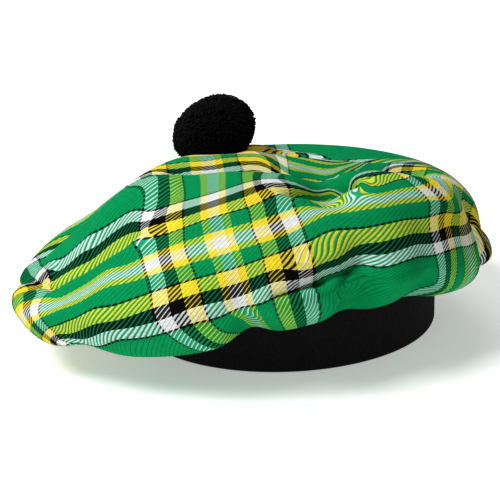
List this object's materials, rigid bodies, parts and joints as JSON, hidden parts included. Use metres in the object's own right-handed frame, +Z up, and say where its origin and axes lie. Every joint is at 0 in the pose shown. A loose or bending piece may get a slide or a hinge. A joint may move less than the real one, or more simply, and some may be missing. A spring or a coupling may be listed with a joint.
{
  "type": "tam o shanter",
  "caption": "Floppy round cap of tartan cloth gathered into a ribbed knit headband, slouched to one side, with a yarn pompom on top.",
  "frame": {"origin": "middle of the bounding box, on the floor that the headband stands on", "axes": "+X along the crown's longest spread, away from the slouched end; -Y towards the side seen in the picture; +Z up"},
  "size_m": [0.266, 0.264, 0.1316],
  "materials": {
    "tartan": "twill-woven wool-like cloth in green, yellow, white and black",
    "band_knit": "fine ribbed knit, matt black",
    "pompom_yarn": "soft black yarn"
  },
  "bodies": {
    "root": {"crown": "tartan", "headband": "band_knit", "pompom": "pompom_yarn"}
  },
  "joints": []
}
